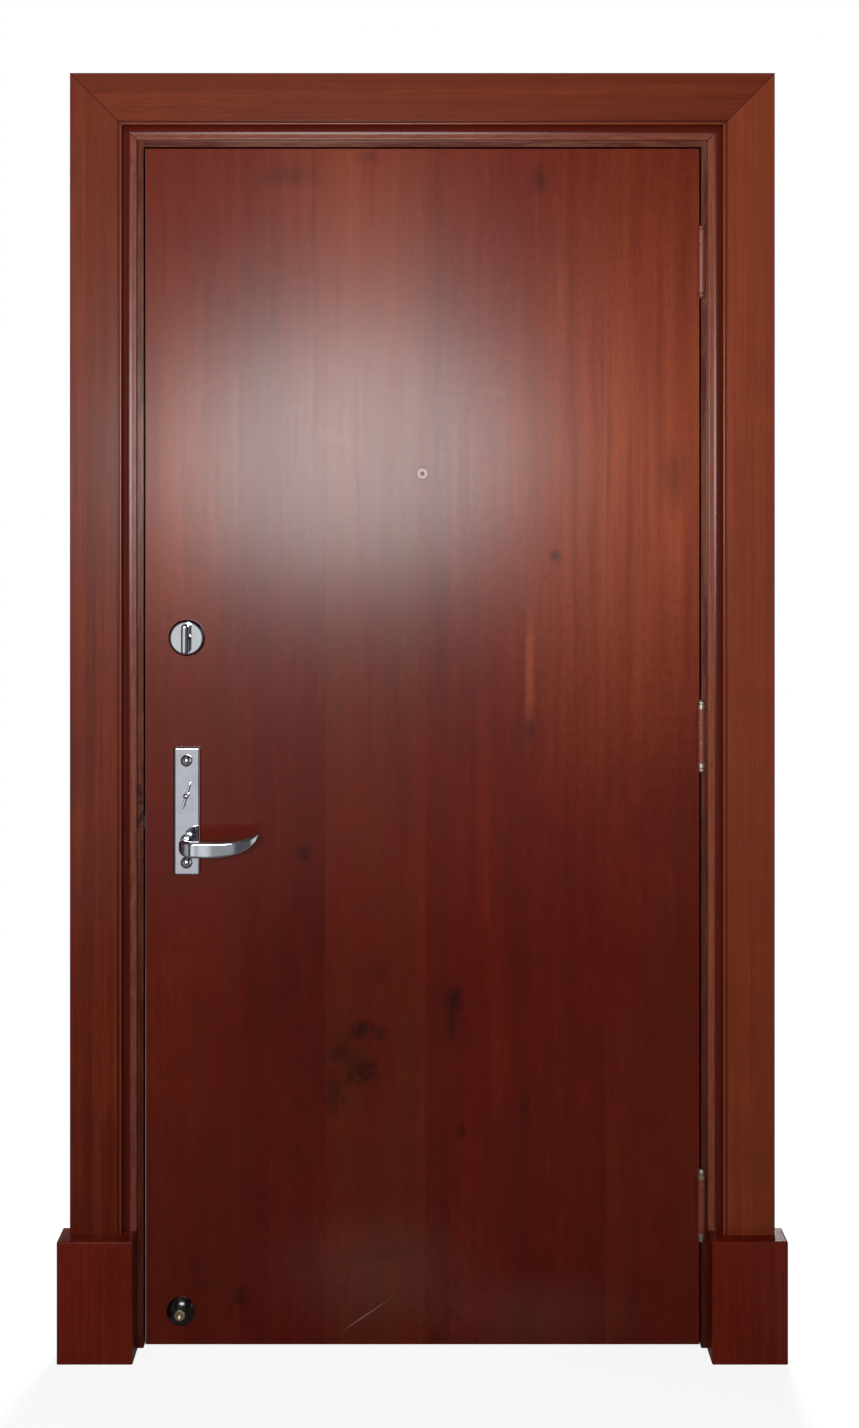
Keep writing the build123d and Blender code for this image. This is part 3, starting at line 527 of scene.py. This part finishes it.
def near(tree, value, middle, softness, strength):
    """Mask that fades out on both sides of a value."""
    off = distance(tree, value, middle)
    return add(tree, "MapRange", {0: off, 1: softness, 2: 0, 4: strength}, **soft_step)


def casing_cove(tree, shader, inward):
    """Darkens the cove with painted shade, from its deep side to the quirk."""
    cove = add(tree, "MapRange", {0: inward, 1: cove_start, 2: cove_deep, 4: cove_shade_strength}, **soft_step)
    end = add(tree, "MapRange", {0: inward, 1: cove_end, 2: cove_end - groove_softness}, **soft_step)
    tinted(tree, shader, add(tree, "Math", {0: cove, 1: end}, operation="MULTIPLY"), cove_shade_colour)


def casing_lip(tree, shader, place, along, inward):
    """Paints a pale highlight on the lip next to the door, in streaks along the grain."""
    pale_streaks = grain(tree, place, along, lip_layers)
    pale_amount = add(tree, "MapRange", {0: pale_streaks, 1: lip_limits[0], 2: lip_limits[1],
                                    3: lip_shares[0], 4: lip_shares[1]}, **soft_step)
    lip = add(tree, "MapRange", {0: inward, 1: cove_deep, 2: cove_start}, **soft_step)
    tinted(tree, shader, add(tree, "Math", {0: lip, 1: pale_amount}, operation="MULTIPLY"), lip_highlight_colour)


def casing_wood(name, along, stains, faded):
    # Mahogany moulding, stained and varnished by hand: red-brown with long grain, painted paler towards the top
    # as painted light, painted shade dark red in the cove and in the grooves, painted highlights on the bead
    # and on the lip next to the door, and dirt in the mitres.
    material, tree, shader, place = solid_wood(name, along, *stains)
    apart = add(tree, "SeparateXYZ", {0: place}).outputs
    # Painted light: the casing is paler towards the top
    low, high = casing_top_light_heights
    fade = add(tree, "MapRange", {0: apart["Z"], 1: low, 2: high, 3: faded[0], 4: faded[1]})
    tinted(tree, shader, fade, casing_pale_tone)
    above = add(tree, "Math", {0: apart["Z"], 1: casing_top}, operation="SUBTRACT")
    beside = add(tree, "Math", {0: apart["X"]}, operation="ABSOLUTE")
    beside = add(tree, "Math", {0: beside, 1: casing_side}, operation="SUBTRACT")
    inward = above if along == "X" else beside
    casing_cove(tree, shader, inward)
    casing_lip(tree, shader, place, along, inward)
    # Painted highlight on the bead
    tinted(tree, shader, near(tree, inward, bead_middle, groove_softness, bead_highlight_strength), bead_highlight_colour)
    # Painted shade in the grooves
    for groove, strength in groove_places:
        tinted(tree, shader, near(tree, inward, groove, groove_softness, strength), groove_shade_and_mitre_dirt)
    mitre = add(tree, "Math", {0: above, 1: beside}, operation="SUBTRACT")
    tinted(tree, shader, near(tree, mitre, 0, mitre_softness, mitre_strength), groove_shade_and_mitre_dirt)
    return material


def jamb_chips(tree, shader, place, apart):
    """Dark chips in the upright on the lock side, beside the latch."""
    lock_side = add(tree, "MapRange", {0: apart["X"], 1: 0, 2: -chip_side})
    chips = add(tree, "TexNoise", {"Vector": place, "Scale": 1 / chip_size, "Detail": chip_detail})
    chips = add(tree, "MapRange", {0: chips, 1: chip_limits[0], 2: chip_limits[1]}, **soft_step)
    chips = add(tree, "Math", {0: chips, 1: near(tree, apart["Z"], *chipped)}, operation="MULTIPLY")
    tinted(tree, shader, add(tree, "Math", {0: chips, 1: lock_side}, operation="MULTIPLY"), chip_colour)


def jamb_wood(name, along):
    # Mahogany jamb under old varnish: dark red-brown. Its front is pale and greyish, partly worn thin and
    # partly a painted sheen, and the pale tint is painted weaker lower down as painted shade.
    material, tree, shader, place = solid_wood(name, along, *jamb_stain)
    apart = add(tree, "SeparateXYZ", {0: place}).outputs
    front = add(tree, "MapRange", {0: apart["Y"], 1: jamb_front[0], 2: jamb_front[1]}, **soft_step)
    pale_streaks = grain(tree, place, along, jamb_wear_and_sheen_layers)
    pale_amount = add(tree, "MapRange", {0: pale_streaks, 1: jamb_wear_and_sheen_limits[0], 2: jamb_wear_and_sheen_limits[1],
                                    3: jamb_wear_and_sheen_shares[0], 4: jamb_wear_and_sheen_shares[1]}, **soft_step)
    # Painted shade: the pale front is weaker lower down
    high = add(tree, "MapRange", {0: apart["Z"], 1: jamb_shade_heights[0], 2: jamb_shade_heights[1],
                                  3: jamb_shaded_low_share, 4: 1}, **soft_step)
    front = add(tree, "Math", {0: front, 1: high}, operation="MULTIPLY")
    tinted(tree, shader, add(tree, "Math", {0: front, 1: pale_amount}, operation="MULTIPLY"), jamb_wear_and_sheen_colour)
    if along == "Z":
        jamb_chips(tree, shader, place, apart)
    return material


def finish(name, code, other, rough, metal, size, rough_change=0.06, gloss_level=0.5):
    """A finish that drifts between two near colours and two glosses, in patches of a given size."""
    material, tree, shader, place = new_material(name)
    patch = add(tree, "TexNoise", {"Vector": place, "Scale": 1 / size, "Detail": patch_detail})
    drift = add(tree, "Mix", {0: patch, 6: colour(code), 7: colour(other)}, **colours)
    gloss = add(tree, "MapRange", {0: patch, 1: patch_limits[0], 2: patch_limits[1],
                                   3: rough - rough_change, 4: rough + rough_change})
    fill(tree, shader, {"Base Color": drift, "Metallic": metal, "Roughness": gloss,
                        "Specular IOR Level": gloss_level})
    return material, tree, shader, place


def even_finish(*values):
    return finish(*values)[0]


def chrome_finish(name, code, other):
    # Chrome on polished brass: a near mirror, cool and bright, dulled a little in patches by fingers.
    return finish(name, code, other, chrome_rough, 1, chrome_patch, chrome_rough_change)


def rose_chrome():
    # The same chrome, with a painted reflection and shade: a dark ring round the rim of the rose, as if it
    # mirrored the dark wood.
    material, tree, shader, place = chrome_finish("polished_chrome_painted_dark_rim", *rose_colours)
    off = add(tree, "VectorMath", {0: place, 1: rose_middle}, operation="SUBTRACT")
    off = add(tree, "VectorMath", {0: off, 1: (1, 0, 1)}, operation="MULTIPLY")
    far = add(tree, "VectorMath", {0: off}, operation="LENGTH")
    rim = add(tree, "MapRange", {0: far, 1: rose_rim[0], 2: rose_rim[1], 4: rose_strength}, **soft_step)
    tinted(tree, shader, rim, chrome_painted_reflection)
    return material


def plate_chrome():
    # The same chrome, with a painted reflection: dark along the edges of the plate, most on the side of the
    # jamb, as if the edges mirrored the dark room.
    material, tree, shader, place = chrome_finish("polished_chrome_painted_dark_edges", *plate_colours)
    across = add(tree, "SeparateXYZ", {0: place}).outputs["X"]
    dark_reach, clear_reach = plate_painted_reflection_reach
    left = add(tree, "MapRange", {0: across, 1: plate_left + clear_reach, 2: plate_left + dark_reach,
                                  4: plate_left_strength}, **soft_step)
    right = add(tree, "MapRange", {0: across, 1: plate_right - dark_reach, 2: plate_right,
                                   4: plate_right_strength}, **soft_step)
    tinted(tree, shader, add(tree, "Math", {0: left, 1: right}, operation="MAXIMUM"), chrome_painted_reflection)
    return material


def turn_chrome():
    # The same chrome, with a painted reflection: dark down both flanks of the thumb turn, as if they mirrored
    # the dark room.
    material, tree, shader, place = chrome_finish("polished_chrome_painted_dark_flanks", *chrome_colours)
    across = add(tree, "SeparateXYZ", {0: place}).outputs["X"]
    off = distance(tree, across, rose_middle[0])
    flank = add(tree, "MapRange", {0: off, 1: turn_painted_reflection_reach[0], 2: turn_painted_reflection_reach[1], 4: turn_strength}, **soft_step)
    tinted(tree, shader, flank, chrome_painted_reflection)
    return material


def hinge_wear(tree, up, blots):
    """Where the coating is gone: a few blots all over, and most of the worn ends."""
    bare = add(tree, "MapRange", {0: blots, 1: worn_blot_limits[0], 2: worn_blot_limits[1],
                                  4: worn_blot_strength}, **soft_step)
    far, close = worn_end_reach
    for height, strength in worn_hinge_ends:
        off = distance(tree, up, height)
        end = add(tree, "MapRange", {0: off, 1: far, 2: close, 4: strength}, **soft_step)
        end = add(tree, "Math", {0: blots, 1: blot_share, 2: end}, operation="MULTIPLY_ADD")
        end = add(tree, "MapRange", {0: end, 1: worn_end_limits[0], 2: worn_end_limits[1]}, **soft_step)
        bare = add(tree, "Math", {0: bare, 1: end}, operation="MAXIMUM")
    return bare


def hinge_finish():
    # Steel hinges brushed over with the door's own red-brown coating: brown and a little lumpy, with bright
    # bare metal where the knuckles at the ends have rubbed.
    material, tree, shader, place = new_material("brown_coated_steel_worn_at_ends")
    up = add(tree, "SeparateXYZ", {0: place}).outputs["Z"]
    blots = add(tree, "TexNoise", {"Vector": place, "Scale": blots_per_metre, "Detail": blot_detail})
    bare = hinge_wear(tree, up, blots)
    coating = add(tree, "Mix", {0: blots, 6: colour(hinge_coating[0]), 7: colour(hinge_coating[1])}, **colours)
    seen = add(tree, "Mix", {0: bare, 6: coating, 7: colour(hinge_bare)}, **colours)
    gloss = add(tree, "MapRange", {0: blots, 1: patch_limits[0], 2: patch_limits[1],
                                   3: hinge_rough[0], 4: hinge_rough[1]})
    relief = add(tree, "Bump", {"Height": blots, "Strength": hinge_relief, "Distance": relief_depth})
    fill(tree, shader, {"Base Color": seen, "Metallic": bare, "Roughness": gloss, "Normal": relief})
    return material


veneer = leaf_veneer("mahogany_veneer_satin_varnish", 0, True)
outside_veneer = leaf_veneer("mahogany_veneer_outside", outside_shift, False)
lock_casing_wood = casing_wood("mahogany_casing_lock_side", "Z", deep_stain, lock_top_light_shares)
hinge_casing_wood = casing_wood("mahogany_casing_hinge_side", "Z", warm_stain, hinge_warm_and_top_light_shares)
head_casing_wood = casing_wood("mahogany_casing_head", "X", deep_stain, head_top_light_shares)
jamb_upright = jamb_wood("mahogany_jamb_upright", "Z")
jamb_level = jamb_wood("mahogany_jamb_level", "X")
# Mahogany block with the same stain, from the knocked foot of the frame: the darkest red of the wood.
plinth_wood = solid_wood("mahogany_plinth", "Z", *plinth_stain)[0]
# Mahogany lipping on the edges of the leaf: the same red with a closer grain.
edge_wood = solid_wood("mahogany_edge", "Z", *edge_stain)[0]
chrome = chrome_finish("polished_chrome", *chrome_colours)[0]
chrome_rose = rose_chrome()
chrome_plate = plate_chrome()
chrome_turn = turn_chrome()
painted_hinge = hinge_finish()

# The rest: name, two colours, roughness, metal, size of its patches, change of roughness and level of gloss
# Pressed wood particles inside the leaf: pale tan and matt, speckled at a grain of 4 mm.
core_wood = even_finish("particle_board", "#8f7450", "#b89a70", 0.8, 0, 0.004)
# Zinc-plated steel of the lock inside the leaf: grey and satin, with cloudy patches.
steel = even_finish("zinc_plated_steel", "#9d9b95", "#b4b2aa", 0.32, 1, 0.02)
# Extruded rubber: nearly black and matt.
seal_rubber = even_finish("extruded_rubber", "#120f0f", "#1b1717", 0.7, 0, 0.02)
# Moulded hard rubber of the door stop: black with a wet-looking shine.
stop_black = even_finish("moulded_hard_rubber", "#070605", "#0f0d0a", 0.16, 0, 0.01)
# Turned brass, dulled: a yellowish silver tip.
stop_metal = even_finish("dull_brass", "#b7ad86", "#d2c9a6", 0.34, 1, 0.006, 0.1)
# Moulded nylon: black, half matt.
bush = even_finish("moulded_nylon", "#19191a", "#202021", 0.45, 0, 0.01)
# Nickel-plated brass of the viewer, tarnished: pale pinkish grey, soft.
viewer_metal = even_finish("tarnished_nickel", "#846c6a", "#9b8583", 0.5, 0.3, 0.006)
# Ground glass lens, dark because the tube behind it is.
glass = even_finish("ground_glass", "#1c1a1c", "#262426", 0.05, 0, 0.01, 0.02, 0.08)

finishes = {
    veneer: ("front_panel",),
    outside_veneer: ("back_panel",),
    lock_casing_wood: ("lock_casing",),
    hinge_casing_wood: ("hinge_casing",),
    head_casing_wood: ("head_casing",),
    jamb_upright: ("lock_jamb", "hinge_jamb"),
    jamb_level: ("head_jamb",),
    plinth_wood: ("lock_plinth", "hinge_plinth"),
    edge_wood: ("lock_stile", "hinge_stile", "top_rail", "bottom_rail"),
    core_wood: ("core",),
    seal_rubber: ("lock_seal", "hinge_seal", "head_seal"),
    steel: ("latch_strike", "deadbolt_strike", "strike_screws", "frame_hinge_screws", "leaf_hinge_screws",
            "lock_forend", "lock_case", "lock_cover", "forend_screws", "deadbolt_forend", "deadbolt_case",
            "lever_spindle", "lever_follower", "latch_bolt", "dead_bolt", "lock_bolt"),
    painted_hinge: ("hinge_pins", "hinge_tips", "hinge_top_frame_leaf", "hinge_middle_frame_leaf",
                    "hinge_bottom_frame_leaf", "hinge_top_door_leaf", "hinge_middle_door_leaf",
                    "hinge_bottom_door_leaf"),
    chrome: ("outside_plate", "plate_bolts", "key_cylinder", "deadbolt_cylinder", "inside_lever",
             "outside_lever", "snib_turn"),
    chrome_turn: ("thumb_turn",),
    chrome_rose: ("deadbolt_rose",),
    chrome_plate: ("inside_plate",),
    bush: ("lever_bushes",),
    viewer_metal: ("viewer_inner", "viewer_outer"),
    glass: ("viewer_lens",),
    stop_black: ("door_stop_base",),
    stop_metal: ("door_stop_tip",),
}

# Pieces finished further: their slot, the angle that stays sharp, and how far their edges are eased
casing_ease = 0.0006
finer_pieces = {
    "inside_lever": ("polished_chrome", 40, 0),
    "outside_lever": ("polished_chrome", 40, 0),
    "inside_plate": ("polished_chrome", 35, 0),
    "outside_plate": ("polished_chrome", 35, 0),
    "plate_bolts": ("polished_chrome", 35, 0),
    "deadbolt_rose": ("polished_chrome", 25, 0),
    "deadbolt_cylinder": ("polished_chrome", 25, 0),
    "thumb_turn": ("polished_chrome", 35, 0),
    "snib_turn": ("polished_chrome", 35, 0),
    "lock_casing": ("casing_wood", 28, casing_ease),
    "hinge_casing": ("casing_wood", 28, casing_ease),
    "head_casing": ("casing_wood", 28, casing_ease),
}
merge_distance = 0.00001
flat_angle = 0.5
ease_segments = 2


def ease_edges(piece, sharp_angle, eased):
    bpy.ops.object.modifier_add(type="BEVEL")
    bevel = piece.modifiers[-1]
    bevel.width = eased
    bevel.segments = ease_segments
    bevel.limit_method = "ANGLE"
    bevel.angle_limit = math.radians(sharp_angle)
    bpy.ops.object.modifier_apply(modifier=bevel.name)


def finer_copy(name, sharp_angle, eased):
    """A copy of a CAD node with its doubles merged, its edges eased and its curves shaded smooth."""
    bpy.ops.object.select_all(action="DESELECT")
    nodes[name].select_set(True)
    bpy.context.view_layer.objects.active = nodes[name]
    bpy.ops.object.duplicate()
    copy = bpy.context.view_layer.objects.active
    copy.name = name + "_finished"
    bpy.ops.mesh.customdata_custom_splitnormals_clear()
    bpy.ops.object.mode_set(mode="EDIT")
    bpy.ops.mesh.select_all(action="SELECT")
    bpy.ops.mesh.remove_doubles(threshold=merge_distance)
    if eased:
        bpy.ops.mesh.dissolve_limited(angle_limit=math.radians(flat_angle))
    bpy.ops.object.mode_set(mode="OBJECT")
    if eased:
        ease_edges(copy, sharp_angle, eased)
    bpy.ops.object.shade_smooth_by_angle(angle=math.radians(sharp_angle))
    bpy.ops.object.modifier_add(type="WEIGHTED_NORMAL")
    copy.modifiers[-1].keep_sharp = True
    bpy.ops.object.modifier_apply(modifier=copy.modifiers[-1].name)
    return copy


def stage_floor():
    bpy.ops.object.select_all(action="DESELECT")
    bpy.ops.mesh.primitive_circle_add(vertices=floor_sides, radius=floor_radius, fill_type="NGON")
    floor = bpy.context.active_object
    floor.name = "studio_floor"
    # Matt paper, which fades to white far out so that its edge can't be seen.
    material, tree, shader, place = new_material("matt_paper")
    fill(tree, shader, {"Base Color": colour(floor_colour), "Roughness": floor_rough,
                        "Specular IOR Level": floor_gloss})
    far = add(tree, "VectorMath", {0: place}, operation="LENGTH")
    rays = add(tree, "LightPath").outputs
    level = add(tree, "Math", {0: rays["Is Camera Ray"], 1: floor_glow}, operation="MULTIPLY")
    lit = add(tree, "AddShader", {0: shader, 1: add(tree, "Emission", {"Strength": level})})
    fade = add(tree, "MapRange", {0: far, 1: floor_fade[0], 2: floor_fade[1]}, **soft_step)
    fade = add(tree, "Math", {0: fade, 1: rays["Is Camera Ray"]}, operation="MULTIPLY")
    faded = add(tree, "MixShader", {0: fade, 1: lit, 2: add(tree, "Emission", {"Strength": 1})})
    fill(tree, tree.nodes["Material Output"], {"Surface": faded})
    floor.data.materials.append(material)


def mirrored_room(tree, way):
    """Brightness of the room that metal mirrors, by direction."""
    bright = left_level
    for start, end, change in mirrored_bands:
        step = add(tree, "MapRange", {0: way["X"], 1: start, 2: end, 4: change}, **soft_step)
        bright = add(tree, "Math", {0: step, 1: bright}, operation="ADD")
    faced = add(tree, "Math", {0: way["Y"]}, operation="ABSOLUTE")
    dimmed = (
        (way["Z"], low_ways, (low_level, 1)),
        (way["Z"], top_ways, (1, top_level)),
        (faced, side_ways, (side_level, 1)),
    )
    for value, (start, end), (first, last) in dimmed:
        step = add(tree, "MapRange", {0: value, 1: start, 2: end, 3: first, 4: last}, **soft_step)
        bright = add(tree, "Math", {0: bright, 1: step}, operation="MULTIPLY")
    start, end = strip_ways
    strip = add(tree, "MapRange", {0: way["X"], 1: start, 2: end, 4: strip_level}, **soft_step)
    return add(tree, "Math", {0: bright, 1: strip}, operation="MAXIMUM")


def studio_world():
    """White to the camera and through glass, a partly dim room to metal, and a weak fill on the rest."""
    world = bpy.data.worlds.new("studio")
    bpy.context.scene.world = world
    world.use_nodes = True
    tree = world.node_tree
    rays = add(tree, "LightPath").outputs
    way = add(tree, "SeparateXYZ", {0: add(tree, "TexCoord").outputs["Generated"]}).outputs
    bright = mirrored_room(tree, way)
    room = add(tree, "Mix", {0: bright, 6: colour(room_dark), 7: colour(room_white)}, **colours)
    shown = add(tree, "Mix", {0: rays["Is Glossy Ray"], 6: colour(room_white), 7: room}, **colours)
    seen = add(tree, "Math", {0: rays["Is Camera Ray"], 1: rays["Is Transmission Ray"]}, operation="MAXIMUM")
    seen = add(tree, "Math", {0: seen, 1: rays["Is Glossy Ray"]}, operation="MAXIMUM")
    level = add(tree, "Mix", {0: seen, 2: fill_level, 3: 1})
    fill(tree, tree.nodes["Background"], {"Color": shown, "Strength": level})


def area_lamp(name, place, size, power, turn):
    bpy.ops.object.light_add(type="AREA", location=place, rotation=[math.radians(angle) for angle in turn])
    lamp = bpy.context.active_object
    lamp.name = name
    lamp.data.shape = "ELLIPSE"
    lamp.data.size, lamp.data.size_y = size
    lamp.data.energy = power


def studio_camera():
    bpy.ops.object.camera_add(location=camera_place, rotation=(math.pi / 2, 0, 0))
    camera = bpy.context.active_object
    camera.data.lens = camera_lens
    camera.data.sensor_width = camera_sensor
    camera.data.shift_x, camera.data.shift_y = camera_shift
    bpy.context.scene.camera = camera


for material, names in finishes.items():
    for name in names:
        nodes[name].data.materials.clear()
        nodes[name].data.materials.append(material)

for name, (slot, sharp_angle, eased) in finer_pieces.items():
    finer = finer_copy(name, sharp_angle, eased)
    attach(finer, body_of(nodes[name])[0])
    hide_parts(name)

stage_floor()
studio_world()
area_lamp("key_lamp", key_place, key_size, key_power, front_turn)
area_lamp("top_lamp", top_place, top_size, top_power, front_turn)
area_lamp("back_lamp", back_place, back_size, back_power, back_turn)
studio_camera()
bpy.context.scene.view_settings.view_transform = "Standard"
